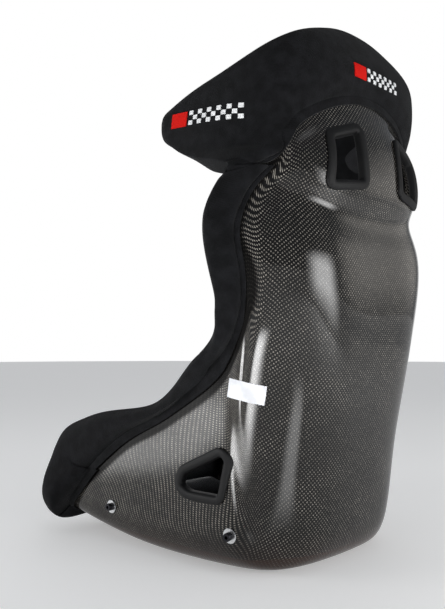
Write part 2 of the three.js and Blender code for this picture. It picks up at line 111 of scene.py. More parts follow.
class Finish(Graph):
    """A material whose shader is a Principled BSDF with constants set on its own sockets."""

    def __init__(self, name, **constants):
        self.material = bpy.data.materials.new(name)
        super().__init__(self.material, "Principled BSDF")
        for socket, value in constants.items():
            self.shader.inputs[socket.replace("_", " ")].default_value = value

    def bump(self, height, depth, strength=1.0):
        """Turns a height from 0 to 1 into relief of the given depth, in metres."""
        inputs = {"Strength": strength, "Distance": depth, "Height": height}
        self.feed("Normal", self.node("ShaderNodeBump", {}, inputs))


class Socket:
    """A socket of a graph, which takes part in ordinary Python expressions."""

    def __init__(self, graph, socket):
        self.graph = graph
        self.socket = socket

    def other(self, name):
        """Another output of the same node."""
        return Socket(self.graph, self.socket.node.outputs[name])

    def maths(self, operation, *others):
        """A Math node on this value and the others."""
        inputs = dict(enumerate((self,) + others))
        return self.graph.node("ShaderNodeMath", {"operation": operation}, inputs)

    def __add__(self, other):
        return self.maths("ADD", other)

    __radd__ = __add__

    def __mul__(self, other):
        return self.maths("MULTIPLY", other)

    __rmul__ = __mul__

    def __sub__(self, other):
        return self.maths("SUBTRACT", other)

    def __rsub__(self, other):
        return self.graph.node("ShaderNodeMath", {"operation": "SUBTRACT"}, {0: other, 1: self})

    def __mod__(self, other):
        return self.maths("FLOORED_MODULO", other)

    def __lt__(self, other):
        return self.maths("LESS_THAN", other)

    def whole(self):
        """The value without its fraction."""
        return self.maths("FLOOR")

    def clipped(self, low, high, top=1.0):
        """0 below low, `top` above high and a smooth ramp between."""
        inputs = {"Value": self, "From Min": low, "From Max": high, "To Max": top}
        return self.graph.node("ShaderNodeMapRange", {"interpolation_type": "SMOOTHSTEP"}, inputs)


def place_of(finish):
    """The point on the piece, in metres."""
    return finish.node("ShaderNodeTexCoord", {}, {}, "Object")


def parts_of(vector):
    """The X of a vector. Its other("Y") and other("Z") are the rest."""
    return vector.graph.node("ShaderNodeSeparateXYZ", {}, {0: vector})


def grain(finish, size, detail=2.0):
    """Cloudy noise from 0 to 1 whose patches are about `size` metres wide."""
    inputs = {"Vector": place_of(finish), "Scale": 1 / size, "Detail": detail}
    return finish.node("ShaderNodeTexNoise", {}, inputs, "Fac")


print("graph tools:", Graph.__name__, Finish.__name__, Socket.__name__)

# %% [markdown]
# ## The studio
# A lacquered shell shows the room more than its own colour, so the light is set by what the shell
# mirrors. The backdrop is white and the rest of the sky is dim, which keeps the lacquer dark. A
# single bright dome would be simpler, but it would wash out the weave.

# %% World
SKY_DIM = (0.20, 0.21, 0.225, 1)
SKY_BRIGHT = (1.0, 1.0, 1.0, 1)
BACKDROP_WAY = (-0.73, -0.68, 0.0)
BACKDROP_EDGE = (0.72, 0.88)

bpy.context.scene.view_settings.view_transform = "Standard"
world = bpy.data.worlds.new("studio_sky")
bpy.context.scene.world = world
sky = Graph(world, "Background")
way = sky.node("ShaderNodeTexCoord", {}, {}, "Generated")
towards = sky.node("ShaderNodeVectorMath", {"operation": "DOT_PRODUCT"},
                   {0: way, 1: BACKDROP_WAY}, "Value")
backdrop = sky.node("ShaderNodeValToRGB", {}, {"Fac": towards}, "Color")
stops = backdrop.socket.node.color_ramp.elements
for stop, colour, position in zip(stops, (SKY_DIM, SKY_BRIGHT), BACKDROP_EDGE):
    stop.color = colour
    stop.position = position
seen = sky.node("ShaderNodeLightPath", {}, {}, "Is Camera Ray")
sky.feed("Color", sky.mix(seen, backdrop, SKY_BRIGHT))
print("sky:", len(sky.tree.nodes), "nodes")

# %% [markdown]
# ## Soft panels
# Each panel is an area light that fades towards its borders, so its mirror image has no hard
# edge. The upright panels stand for softboxes, and the strips lie on the floor, because the
# shell's sides and its rear corner lean over and mirror the ground. The corner strip draws the
# long highlight down the corner, and the waist strip the one that runs past the label.

# %% Soft panels
WARM = (1.0, 0.95, 0.88)
UP = (0, 0, 1)
FADE_WIDTH = 0.4
FADE_TOP = 1.6


def soft_panel(name, place, aim, width, height, power, colour=(1, 1, 1), spin=0):
    """An area light at a place, turned so that it faces its aim. UP makes it lie on the floor."""
    bpy.ops.object.select_all(action="DESELECT")
    bpy.ops.object.light_add(type="AREA", location=place)
    lamp = bpy.context.object
    lamp.name = name
    lamp.data.shape = "RECTANGLE"
    lamp.data.size = width
    lamp.data.size_y = height
    lamp.data.energy = power
    lamp.data.color = colour
    lamp.visible_camera = False
    way = Vector(UP) if aim == UP else Vector(aim) - Vector(place)
    turn = way.to_track_quat("-Z", "Y") @ Quaternion(UP, math.radians(spin))
    lamp.rotation_euler = turn.to_euler()
    soften_edges(lamp.data)
    return lamp


def soften_edges(light):
    """Dims a panel towards its borders, so that its mirror image has soft edges."""
    glow = Graph(light, "Emission")
    spot = parts_of(glow.node("ShaderNodeNewGeometry", {}, {}, "Parametric"))
    across, up = (spot.other(axis).maths("PINGPONG", 0.5) for axis in "XY")
    fade = (0, FADE_WIDTH, FADE_TOP)
    glow.feed("Strength", across.clipped(*fade) * up.clipped(*fade))


soft_panel("top_panel", (0.4, 0.3, 3.2), (0.2, 0.1, 0), 2.6, 2.6, 6)
soft_panel("wall_panel", (-2.6, 1.6, 1.0), (0, 0.3, 0.4), 3.0, 1.9, 6, WARM)
soft_panel("rear_panel", (-0.13, 1.96, 0.46), (0.14, 0.28, 0.44), 2.1, 1.0, 22)
soft_panel("side_panel", (1.9, -1.5, 0.5), (0.2, 0.0, 0.2), 1.7, 0.9, 24)
soft_panel("corner_strip", (0.36, 0.60, 0.004), UP, 0.72, 0.17, 0.6, spin=-64)
soft_panel("waist_strip", (0.90, 0.52, 0.004), UP, 1.05, 0.42, 10, spin=-60)
soft_panel("side_strip", (0.98, -0.82, 0.004), UP, 1.5, 0.95, 6, spin=-40)

# %% [markdown]
# ## Carbon laminate
# The cloth is a tight weave of flat tows. A tow is a low ridge, and where it lies on top its crown
# is painted light, a painted sheen for the glint of the black fibre. The shell carries its own map
# in metres, so the weave follows the moulding. At the seam between the rear ply and the side ply
# the weave turns, and the side ply's painted sheen is up to twice as bright. Towards the floor the
# colour turns dark brown. Beside the padded rim the lacquer mirrors black cloth, so a second map,
# the distance from the cloth's border, darkens its colour and its coat there: a painted reflection.
# The coat also thins towards the floor, a painted shade on the lacquer's reflection.

# %% Carbon finish
TOW = 3.4 * MM
INK = (0.0020, 0.0018, 0.0016, 1)
# The fibre colour is painted sheen: black fibre looks bright only where it glints.
FIBRE_SHEEN = (0.24, 0.222, 0.195, 1)
FOOT_BROWN = (0.030, 0.014, 0.009, 1)
PLY_SEAM = 4.62
SEAM_SKEW = 4.0
SIDE_PLY = (4.3, 4.75)
PLY_FOOT = (0.027, 0.031)
RIM_PAINTED_REFLECTION = (0.014, 0.025)


def woven(across, along):
    """The height of a plain weave, and how squarely its warp shows on top."""
    warp_on_top = ((across.whole() + along.whole()) % 2.0) < 0.5
    warp_ridge = ((across % 1.0) * math.pi).maths("SINE")
    weft_ridge = ((along % 1.0) * math.pi).maths("SINE")
    height = warp_ridge * warp_on_top + weft_ridge * (1 - warp_on_top)
    return height, warp_on_top * warp_ridge * weft_ridge


def own_map(finish, name):
    """The first number of a UV map. Its other("Y") is the second."""
    return parts_of(finish.node("ShaderNodeUVMap", {"uv_map": name}, {}))


def make_carbon(name):
    """Woven carbon under clear lacquer."""
    finish = Finish(name, Roughness=0.5, Metallic=0.0, Coat_Roughness=0.06, Coat_IOR=1.5,
                    Specular_IOR_Level=0.03)
    cloth = own_map(finish, "cloth")
    column = own_map(finish, "net").other("Y")
    # Near the cloth's border the colour and the coat are darkened: a painted reflection of the
    # black cloth.
    clear = own_map(finish, "rim").clipped(*RIM_PAINTED_REFLECTION)
    from_seam = (column - PLY_SEAM).maths("ABSOLUTE")
    skew = (1 - from_seam.clipped(0.0, 0.8)) * SEAM_SKEW
    height, lit = woven(cloth.other("Y") * (1 / TOW), cloth * (1 / TOW) + skew)
    patches = grain(finish, 0.07).clipped(0.3, 0.75)
    flecks = grain(finish, 0.006, 1.0).clipped(0.35, 0.7)
    # The weave's painted sheen: patchy, darkened beside the cloth, and brighter on the side ply.
    painted_sheen = lit.clipped(0.25, 0.8) * (0.45 + 0.55 * patches) * (0.45 + 0.55 * flecks)
    painted_sheen = painted_sheen * (0.05 + 0.95 * clear) * (1 + column.clipped(*SIDE_PLY))
    colour = finish.mix(painted_sheen, INK, FIBRE_SHEEN)
    low = parts_of(place_of(finish)).other("Z")
    # Towards the floor the colour turns dark brown, in patches.
    foot = (1 - low.clipped(*PLY_FOOT)) * 0.5 + (1 - low.clipped(0.01, 0.075)) * 0.3
    brown = foot * (0.7 + 0.5 * grain(finish, 0.05))
    finish.feed("Base Color", finish.mix(brown, colour, FOOT_BROWN))
    # The coat thins beside the cloth and towards the floor: painted reflection and painted shade.
    finish.feed("Coat Weight", (0.15 + 0.85 * clear) * (0.6 + 0.4 * low.clipped(0.06, 0.42)))
    finish.bump(height, 0.25 * MM, 0.8)
    return finish.material


carbon = make_carbon("lacquered_carbon")
print("carbon:", len(carbon.node_tree.nodes), "nodes")

# %% [markdown]
# ## Cloth, plastic, steel and thread
# The rim and the head cover are a dull elastic knit. It has a pale bloom where it turns away,
# which is sheen, and a soft mottle where the pile lies differently. The cushions are velour.


# %% Cloth finishes
def make_cloth(name, dark, pale, pile, sheen):
    """A dull black cloth: a fine knit, a soft mottle and a pale bloom at the edges."""
    finish = Finish(name, Roughness=0.95, Sheen_Weight=sheen, Sheen_Roughness=0.45,
                    Specular_IOR_Level=0.15)
    mottle = grain(finish, 0.018, 3.0).clipped(0.3, 0.75)
    fuzz = grain(finish, pile, 2.0)
    finish.feed("Base Color", finish.mix(mottle * 0.55 + fuzz * 0.45, dark, pale))
    wale = finish.node("ShaderNodeTexWave", {"bands_direction": "DIAGONAL"},
                       {"Vector": place_of(finish), "Scale": 260, "Distortion": 1.5})
    finish.bump(fuzz * 0.7 + wale * 0.3, 0.9 * MM, 0.9)
    return finish.material


jersey = make_cloth("cover_jersey", (0.0003, 0.0004, 0.0006, 1), (0.0084, 0.0087, 0.0102, 1),
                    0.0026, 0.04)
velour = make_cloth("cushion_velour", (0.009, 0.009, 0.010, 1), (0.024, 0.024, 0.027, 1),
                    0.0022, 0.3)
print("cloths:", jersey.name, velour.name)

# %% Hard finishes
def make_moulded(name, colour, rough):
    """Moulded plastic with a fine spark-eroded grain and faint handling marks."""
    finish = Finish(name, Specular_IOR_Level=0.22)
    marks = grain(finish, 0.02, 4.0)
    tint = tuple(c * 1.5 for c in colour[:3]) + (1,)
    finish.feed("Base Color", finish.mix(marks.clipped(0.35, 0.8), colour, tint))
    finish.feed("Roughness", rough + 0.15 * marks)
    finish.bump(grain(finish, 0.0007, 1.0), 0.05 * MM, 0.5)
    return finish.material


def make_steel(name, colour, rough, turned):
    """Plated steel with the fine rings that turning leaves, and a slight cloudiness."""
    finish = Finish(name, Metallic=1.0)
    cloud = grain(finish, 0.006, 3.0)
    dull = tuple(c * 0.7 for c in colour[:3]) + (1,)
    finish.feed("Base Color", finish.mix(cloud, colour, dull))
    finish.feed("Roughness", rough + 0.2 * cloud)
    rings = finish.node("ShaderNodeTexWave", {"wave_type": "BANDS"},
                        {"Vector": place_of(finish), "Scale": turned, "Distortion": 4.0})
    finish.bump(rings, 0.02 * MM, 0.3)
    return finish.material


def make_thread(name, colour):
    """Embroidery: satin threads side by side, each a small bright ridge."""
    finish = Finish(name, Roughness=0.7, Specular_IOR_Level=0.08)
    ribs = finish.node("ShaderNodeTexWave", {"bands_direction": "Z"},
                       {"Vector": place_of(finish), "Scale": 320, "Distortion": 0.6})
    shade = tuple(c * 0.72 for c in colour[:3]) + (1,)
    finish.feed("Base Color", finish.mix(ribs, shade, colour))
    finish.bump(ribs, 0.3 * MM, 0.6)
    return finish.material


slot_plastic = make_moulded("slot_plastic", (0.0035, 0.0035, 0.0038, 1), 0.5)
zinc = make_steel("zinc_plate", (0.78, 0.79, 0.80, 1), 0.16, 700)
black_oxide = make_steel("black_oxide", (0.035, 0.035, 0.04, 1), 0.3, 900)
red_thread = make_thread("red_thread", (0.66, 0.010, 0.006, 1))
white_thread = make_thread("white_thread", (0.86, 0.87, 0.88, 1))
label_vinyl = make_moulded("label_vinyl", (0.62, 0.63, 0.66, 1), 0.35)
floor_paint = Finish("floor_paint", Base_Color=(0.85, 0.85, 0.85, 1), Roughness=0.8,
                     Emission_Color=(1, 1, 1, 1), Emission_Strength=0.3).material
print("finishes:", len(bpy.data.materials))

# %% [markdown]
# ## The moulded surface
# The whole seat hangs on one surface, the outside of the shell. It is a spline net: a station
# runs from the spine out to the left rim, the right side is its mirror image, and smooth cubic
# pieces join the points. The numbers are the shell's own design points, in millimetres.

# %% Shell stations
WALL = 5
GAP = 2
STATIONS = 25
HALF = 7
HEM = 21

SHELL_STATIONS = [
    [[0, -300, 40], [70, -300, 40], [135, -300, 40], [180, -300, 43],
     [204, -300, 62], [207, -299, 92], [207, -292, 124], [208, -276, 152]],
    [[0, -262, 30], [70, -262, 30], [135, -262, 30], [180, -262, 33],
     [204, -262, 54], [207, -258, 90], [207, -240, 132], [208, -222, 178]],
    [[0, -195, 17], [70, -195, 17], [135, -195, 17], [178, -195, 21],
     [203, -195, 43], [207, -192, 88], [207, -185, 160], [209, -172, 205]],
    [[0, -100, 4], [70, -100, 4], [135, -100, 4], [176, -100, 8],
     [203, -100, 32], [207, -100, 86], [207, -98, 191], [209, -92, 228]],
    [[0, 0, 0], [70, 0, 0], [132, 0, 0], [173, 0, 4],
     [203, 0, 30], [207, -1, 88], [207.5, -5, 218], [211, -15, 248]],
    [[0, 90, 0], [70, 90, 0], [128, 90, 0], [168, 90, 5],
     [202, 90, 33], [207, 88, 98], [211, 65, 264], [219, 48, 284]],
    [[0, 165, 0], [66, 165, 0], [120, 163, 2], [163, 158, 9],
     [199, 157, 40], [208, 142, 114], [218, 112, 305], [226, 94, 317]],
    [[0, 210, 8], [60, 209, 9], [108, 203, 11], [151, 189, 20],
     [187, 174, 60], [207, 149, 166], [220, 145, 332], [228, 122, 341]],
    [[0, 238, 44], [58, 236, 44], [106, 229, 47], [149, 208, 58],
     [185, 178, 96], [206, 155, 212], [221, 165, 352], [231, 142, 360]],
    [[0, 250, 115], [58, 248, 115], [107, 241, 118], [149, 219, 126],
     [188, 182, 156], [208, 165, 256], [222, 180, 371], [234, 153, 378]],
    [[0, 260, 190], [58, 259, 190], [108, 251, 193], [150, 228, 199],
     [198, 181, 220], [209, 173, 298], [223, 190, 390], [237, 158, 396]],
    [[0, 272, 270], [58, 272, 270], [109, 266, 272], [152, 244, 277],
     [202, 195, 298], [212, 188, 342], [225, 193, 407], [240, 160, 411]],
    [[0, 283, 343], [60, 283, 343], [111, 279, 345], [155, 258, 350],
     [205, 215, 368], [217, 201, 392], [227, 195, 425], [243, 164, 429]],
    [[0, 289, 410], [60, 290, 410], [114, 287, 411], [158, 270, 415],
     [200, 234, 425], [219, 211, 434], [233, 195, 446], [250, 166, 449]],
    [[0, 291, 465], [60, 292, 465], [117, 290, 465], [161, 276, 468],
     [203, 240, 473], [225, 214, 478], [241, 192, 484], [259, 163, 486]],
    [[0, 289, 512], [60, 290, 512], [118, 288, 512], [163, 275, 513],
     [206, 238, 516], [230, 210, 519], [247, 188, 522], [265, 160, 524]],
    [[0, 283, 545], [60, 283, 545], [115, 281, 546], [159, 268, 549],
     [201, 233, 553], [226, 205, 556], [243, 184, 558], [262, 158, 559]],
    [[0, 284, 572], [60, 283, 572], [110, 278, 575], [146, 265, 580],
     [187, 234, 586], [211, 207, 590], [228, 188, 593], [250, 158, 594]],
    [[0, 300, 602], [58, 299, 602], [108, 293, 604], [141, 280, 607],
     [177, 250, 611], [198, 226, 613], [216, 203, 614], [241, 163, 612]],
    [[0, 299, 655], [57, 297, 655], [106, 292, 653], [142, 281, 650],
     [172, 261, 643], [188, 240, 637], [203, 220, 632], [239, 168, 622]],
    [[0, 293, 708], [56, 290, 706], [106, 281, 698], [143, 270, 686],
     [172, 254, 668], [187, 240, 657], [201, 226, 648], [238, 171, 629]],
    [[0, 274, 757], [52, 273, 750], [99, 265, 735], [140, 253, 712],
     [168, 245, 689], [187, 236, 672], [202, 228, 658], [237, 171, 634]],
    [[0, 280, 800], [58, 279, 795], [115, 273, 780], [163, 255, 759],
     [198, 224, 735], [213, 174, 708], [215, 120, 681], [215, 74, 666]],
    [[0, 272, 835], [60, 271, 831], [118, 267, 817], [173, 252, 796],
     [204, 214, 771], [212, 145, 748], [212, 78, 724], [209, 22, 697]],
    [[0, 260, 862], [60, 259, 858], [116, 260, 846], [176, 249, 825],
     [203, 210, 800], [210, 135, 780], [209, 66, 756], [206, 4, 725]],
    [[0, 248, 880], [58, 248, 875], [109, 248, 860], [162, 245, 840],
     [198, 214, 818], [207, 142, 794], [207, 66, 777], [205, 3, 756]],
]


# %% Spline through the stations
def sharpened(rows):
    """Moves inner points outwards, so that the smooth spline comes back to the stations."""
    result = rows.copy()
    result[1:-1] -= (rows[:-2] - 2 * rows[1:-1] + rows[2:]) / 6
    return result


def extended(rows):
    """Adds one straight step past each end, so that the spline reaches the border."""
    return np.concatenate([2 * rows[:1] - rows[1:2], rows, 2 * rows[-1:] - rows[-2:-1]])


def turned_round(grid):
    """Swaps a net's rows and columns."""
    return grid.swapaxes(0, 1)


left_half = np.array(SHELL_STATIONS, float)
both_halves = np.concatenate([left_half[:, ::-1], left_half[:, 1:] * [-1, 1, 1]], axis=1)
net = turned_round(sharpened(turned_round(sharpened(both_halves))))
net = turned_round(extended(turned_round(extended(net))))


def weights(t):
    return np.stack([(1 - t) ** 3, 3 * t**3 - 6 * t**2 + 4,
                     -3 * t**3 + 3 * t**2 + 3 * t + 1, t**3], axis=-1) / 6


def slopes(t):
    return np.stack([-((1 - t) ** 2), 3 * t**2 - 4 * t,
                     -3 * t**2 + 2 * t + 1, t**2], axis=-1) / 2


def blend(u, v, weight_u, weight_v):
    """The net's weighted point. u is the station, and v is 7 at the left rim, -7 at the right."""
    u, v = np.broadcast_arrays(np.asarray(u, float), np.asarray(v, float))
    row = np.clip(np.floor(u), 0, STATIONS - 1).astype(int)
    col = np.clip(np.floor(HALF - v), 0, 2 * HALF - 1).astype(int)
    a = weight_u(u - row)
    b = weight_v(HALF - v - col)
    total = np.zeros(u.shape + (3,))
    for i in range(4):
        for j in range(4):
            total += net[row + i, col + j] * (a[..., i] * b[..., j])[..., None]
    return total


def unit(vectors):
    return vectors / np.linalg.norm(vectors, axis=-1, keepdims=True)


def along_u(u, v):
    return blend(u, v, slopes, weights)


def along_v(u, v):
    return -blend(u, v, weights, slopes)


def outward(u, v):
    return unit(np.cross(along_u(u, v), along_v(u, v)))


def skin(u, v, w):
    """A point w millimetres above the shell's outer surface, in millimetres."""
    point = blend(u, v, weights, weights)
    point[..., 2] = np.maximum(point[..., 2], 0)
    return point + outward(u, v) * np.asarray(w, float)[..., None]


def locate(axes, target, guess):
    """The (u, v) whose surface point has the two given coordinates, by Newton's steps."""
    target = np.asarray(target, float)
    u = np.full(target.shape[:-1], float(guess[0]))
    v = np.full(target.shape[:-1], float(guess[1]))
    a, b = axes
    for _ in range(12):
        miss = target - blend(u, v, weights, weights)[..., [a, b]]
        du = along_u(u, v)
        dv = along_v(u, v)
        det = du[..., a] * dv[..., b] - du[..., b] * dv[..., a]
        u = u + (miss[..., 0] * dv[..., b] - miss[..., 1] * dv[..., a]) / det
        v = v + (du[..., a] * miss[..., 1] - du[..., b] * miss[..., 0]) / det
    return u, v


print("net:", net.shape, "top of the shell at", skin(25, 0, 0).round(1))

# %% [markdown]
# ## Helpers for making pieces
# A grid primitive is the start of every large surface: its corners run from -1 to 1, so each
# vertex knows its own place in the sheet and moves to the point that a formula gives it.


# %% Grid and tube helpers
def select_only(piece):
    bpy.ops.object.select_all(action="DESELECT")
    piece.select_set(True)
    bpy.context.view_layer.objects.active = piece


def edit_all(piece, *steps):
    """Runs edit operators on the whole of a piece."""
    select_only(piece)
    bpy.ops.object.mode_set(mode="EDIT")
    bpy.ops.mesh.select_all(action="SELECT")
    for step in steps:
        step()
    bpy.ops.object.mode_set(mode="OBJECT")


def points_of(piece):
    """The places of a piece's vertices, one row each, in metres."""
    flat = np.empty(len(piece.data.vertices) * 3)
    piece.data.vertices.foreach_get("co", flat)
    return flat.reshape(-1, 3)


def shaped_grid(name, columns, rows, place):
    """A grid of columns by rows. place(s, t) gives points in mm, with s and t from 0 to 1."""
    bpy.ops.object.select_all(action="DESELECT")
    bpy.ops.mesh.primitive_grid_add(x_subdivisions=columns, y_subdivisions=rows, size=2)
    piece = bpy.context.object
    piece.name = piece.data.name = name
    corners = (points_of(piece).reshape(rows + 1, columns + 1, 3) + 1) / 2
    points = place(corners[..., 0], corners[..., 1]) * MM
    piece.data.vertices.foreach_set("co", points.reshape(-1))
    piece.data.update()
    return piece


def closed_tube(name, rings, loop=False):
    """A closed body through rings of points, in mm: an array of rings x points x 3."""
    around = rings.shape[1]
    wrapped = np.concatenate([rings, rings[:, :1]], axis=1)
    if loop:
        wrapped = np.concatenate([wrapped, wrapped[:1]])
    rows = len(wrapped) - 1

    def place(s, t):
        return wrapped[np.rint(t * rows).astype(int), np.rint(s * around).astype(int)]

    piece = shaped_grid(name, around, rows, place)
    edit_all(piece, lambda: bpy.ops.mesh.remove_doubles(threshold=0.00001))
    if not loop:
        close_ends(piece)
    edit_all(piece, lambda: bpy.ops.mesh.normals_make_consistent(inside=False))
    return piece


def close_ends(piece):
    """Fills each open end with triangles. A body that shrinks to a seam has none."""
    select_only(piece)
    bpy.ops.object.mode_set(mode="EDIT")
    bpy.ops.mesh.select_all(action="DESELECT")
    bpy.ops.mesh.select_non_manifold(extend=False, use_wire=False, use_multi_face=False,
                                     use_non_contiguous=False, use_verts=False)
    if piece.data.total_edge_sel:
        bpy.ops.mesh.fill_holes(sides=0)
        bpy.ops.mesh.quads_convert_to_tris(ngon_method="BEAUTY")
    bpy.ops.object.mode_set(mode="OBJECT")


def finished(piece, material, slot, *replaced, smooth=40):
    """Shades a piece, gives it its finish and lets it ride. The slot is not used."""
    piece.data.materials.clear()
    piece.data.materials.append(material)
    select_only(piece)
    bpy.ops.object.shade_smooth_by_angle(angle=math.radians(smooth))
    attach(piece, "root")
    if replaced:
        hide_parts(*replaced)
    print(piece.name, len(piece.data.polygons), "faces")
    return piece


def apply(piece, kind, **settings):
    """Adds a modifier with its settings and applies it at once."""
    select_only(piece)
    modifier = piece.modifiers.new(kind.lower(), kind)
    for key, value in settings.items():
        setattr(modifier, key, value)
    bpy.ops.object.modifier_apply(modifier=modifier.name)


def cut(piece, tool):
    """Takes the tool's body out of a piece, and removes the tool."""
    apply(piece, "BOOLEAN", object=tool, operation="DIFFERENCE", solver="MANIFOLD")
    bpy.data.objects.remove(tool)


def curve_through(points, samples):
    """Smooth points on a Catmull-Rom curve through rows of numbers."""
    padded = extended(np.asarray(points, float))
    spans = len(padded) - 3
    t = np.linspace(0, spans, samples)
    i = np.clip(np.floor(t), 0, spans - 1).astype(int)
    f = (t - i)[:, None]
    a, b, c, d = (padded[i + k] for k in range(4))
    square = 2 * a - 5 * b + 4 * c - d
    cube = 3 * b - a - 3 * c + d
    return b + f * (c - a) / 2 + f**2 * square / 2 + f**3 * cube / 2


print("helpers ready")

# %% [markdown]
# ## The shell
# The laminate is a fine grid on the outer surface, given its wall by Solidify. The harness slots
# and the bolt holes are cut by solids that follow the same surface. Two maps are kept for its
# finish, besides the one for the padded rim: the cloth in metres, and the net's own station and
# column. A subdivided cube would be quicker to start, but its faces wouldn't follow the moulding.

# %% Outlines of the slots
FLANGE = 12
ARC_STEPS = 7
BOLT_PLACES = {"front": -145, "rear": 145}
BOLT_HEIGHT = 66
SIDES = {"left": 1, "right": -1}


def rounded(corners, radius, spacing=7):
    """A polygon with rounded corners and points about `spacing` mm apart between them."""
    corners = np.array(corners, float)
    outline = []
    for i, here in enumerate(corners):
        back = corners[i - 1] - here
        on = corners[(i + 1) % len(corners)] - here
        reach = min(radius, np.linalg.norm(back) * 0.45, np.linalg.norm(on) * 0.45)
        start = here + unit(back) * reach
        end = here + unit(on) * reach
        if outline:
            outline += straight(outline[-1], start, spacing)
        for t in np.linspace(0, 1, ARC_STEPS):
            outline.append((1 - t) ** 2 * start + 2 * t * (1 - t) * here + t**2 * end)
    return np.array(outline + straight(outline[-1], outline[0], spacing))


def straight(a, b, spacing):
    """Points between two ends, without the ends."""
    steps = max(int(np.linalg.norm(b - a) / spacing), 1)
    return [a + (b - a) * k / steps for k in range(1, steps)]


def grown(outline, distance):
    """The outline moved outwards by a distance, square to itself."""
    before = np.roll(outline, 1, axis=0)
    after = np.roll(outline, -1, axis=0)
    area = np.sum(outline[:, 0] * after[:, 1] - after[:, 0] * outline[:, 1])
    step = after - before
    square = np.stack([step[:, 1], -step[:, 0]], axis=1) * np.sign(area)
    return outline + unit(square) * distance


SLOTS = {
    "shoulder": {"axes": (0, 2), "guess": (19, 1.8), "sides": SIDES,
                 "outline": rounded([[59, 703], [58, 618], [127, 609], [120, 683]], 8)},
    "lap": {"axes": (1, 2), "guess": (5.5, 5.3), "sides": SIDES,
            "outline": rounded([[35, 130], [44, 151], [132, 190], [143, 181], [125, 121],
                                [56, 120]], 9)},
    "strap": {"axes": (0, 1), "guess": (2.4, 0), "sides": {"": 1},
              "outline": rounded([[-42, -128], [42, -128], [42, -152], [-42, -152]], 10)},
}


def slot_rings(slot, side, profile):
    """One ring for each point of the outline. A profile point is (growth, height), in mm."""
    rims = []
    for growth, height in profile:
        u, v = locate(slot["axes"], grown(slot["outline"], growth), slot["guess"])
        rims.append(skin(u, v * side, height))
    return np.stack(rims, axis=1)


print("points round a shoulder slot:", len(SLOTS["shoulder"]["outline"]))

# %% Where the cloth ends
def mix(a, b, t):
    t = np.clip(t, 0, 1)
    return a + (b - a) * t * t * (3 - 2 * t)


COVERED = [
    (0.0, 0.6), (3.5, 0.6), (4.5, 1.25), (5.5, 1.8), (6.3, 2.15), (7.0, 2.3), (7.7, 2.05),
    (8.5, 1.6), (9.2, 1.3), (9.75, 1.0), (10.3, 0.8), (11.25, 0.7), (12.7, 0.95), (14.2, 1.05),
    (16.65, 0.95), (19.4, 1.2), (20.8, 1.45), (22.2, 1.4), (22.95, 1.6), (23.65, 1.7),
    (24.35, 1.6), (25.2, 1.5), (28.0, 1.5),
]


def eased(table, place, width):
    """The table's value at a place, averaged over a short width on both sides."""
    places, values = np.array(table).T
    return np.mean(np.interp(place + np.linspace(-width, width, 9), places, values))


def covered(t):
    """How far the cloth reaches in over the carbon at t, in steps of the net."""
    return eased(COVERED, t, 0.4)


print("cloth over the carbon at the front corner:", round(covered(HALF), 2), "steps")


# %% Laminate
ROWS = 192
COLUMNS = 112


def shell_place(s, t):
    return skin(s * STATIONS, (2 * t - 1) * HALF, 0)


def write_map(piece, name, values):
    """Stores a pair of numbers for each vertex as a UV map."""
    layer = piece.data.uv_layers.new(name=name)
    corners = np.empty(len(piece.data.loops), int)
    piece.data.loops.foreach_get("vertex_index", corners)
    layer.data.foreach_set("uv", values.reshape(-1, 2)[corners].reshape(-1).astype(float))


def arc_lengths(points, axis):
    steps = np.linalg.norm(np.diff(points, axis=axis), axis=-1)
    total = np.cumsum(steps, axis=axis)
    start = np.zeros_like(np.take(total, [0], axis=axis))
    return np.concatenate([start, total], axis=axis)


shell = shaped_grid("seat_shell_laminate", ROWS, COLUMNS, shell_place)
shell.data.uv_layers.remove(shell.data.uv_layers[0])
grid = points_of(shell).reshape(COLUMNS + 1, ROWS + 1, 3)
climb = arc_lengths(grid, 1)
climb -= climb[:, ROWS // 2][:, None]
spread = arc_lengths(grid, 0)
spread -= spread[COLUMNS // 2]
write_map(shell, "cloth", np.stack([climb, spread], axis=-1))
stations, columns = np.meshgrid(np.linspace(0, STATIONS, ROWS + 1),
                                np.linspace(-HALF, HALF, COLUMNS + 1))
write_map(shell, "net", np.stack([stations, np.abs(columns)], axis=-1))
# The rim map: distance from the cloth's border, where the carbon paints the cloth's dark
# reflection.
pace = np.linalg.norm(along_v(stations, columns), axis=-1) * MM
reach = np.array([covered(t + HALF) for t in stations[0]])
border = (HALF - reach - np.abs(columns)) * pace
border += mix(0, 14 * MM, (stations - 13.5) / 2)
write_map(shell, "rim", np.stack([border, stations], axis=-1))
apply(shell, "SOLIDIFY", thickness=WALL * MM, offset=-1, use_even_offset=False)
print("laminate:", len(shell.data.polygons), "faces before its holes")

# %% Holes
def bolt_frame(y, side):
    """Where a side-mount bolt crosses the shell, in metres, and the turn that lays Z along it."""
    guess = (2.5, 4.7) if y < 0 else (5.8, 4.7)
    u, v = locate((1, 2), np.array([[y, BOLT_HEIGHT]], float), guess)
    axis = Vector(outward(u, v * side)[0])
    return skin(u, v * side, 0)[0] * MM, axis.to_track_quat("Z", "Y").to_euler()


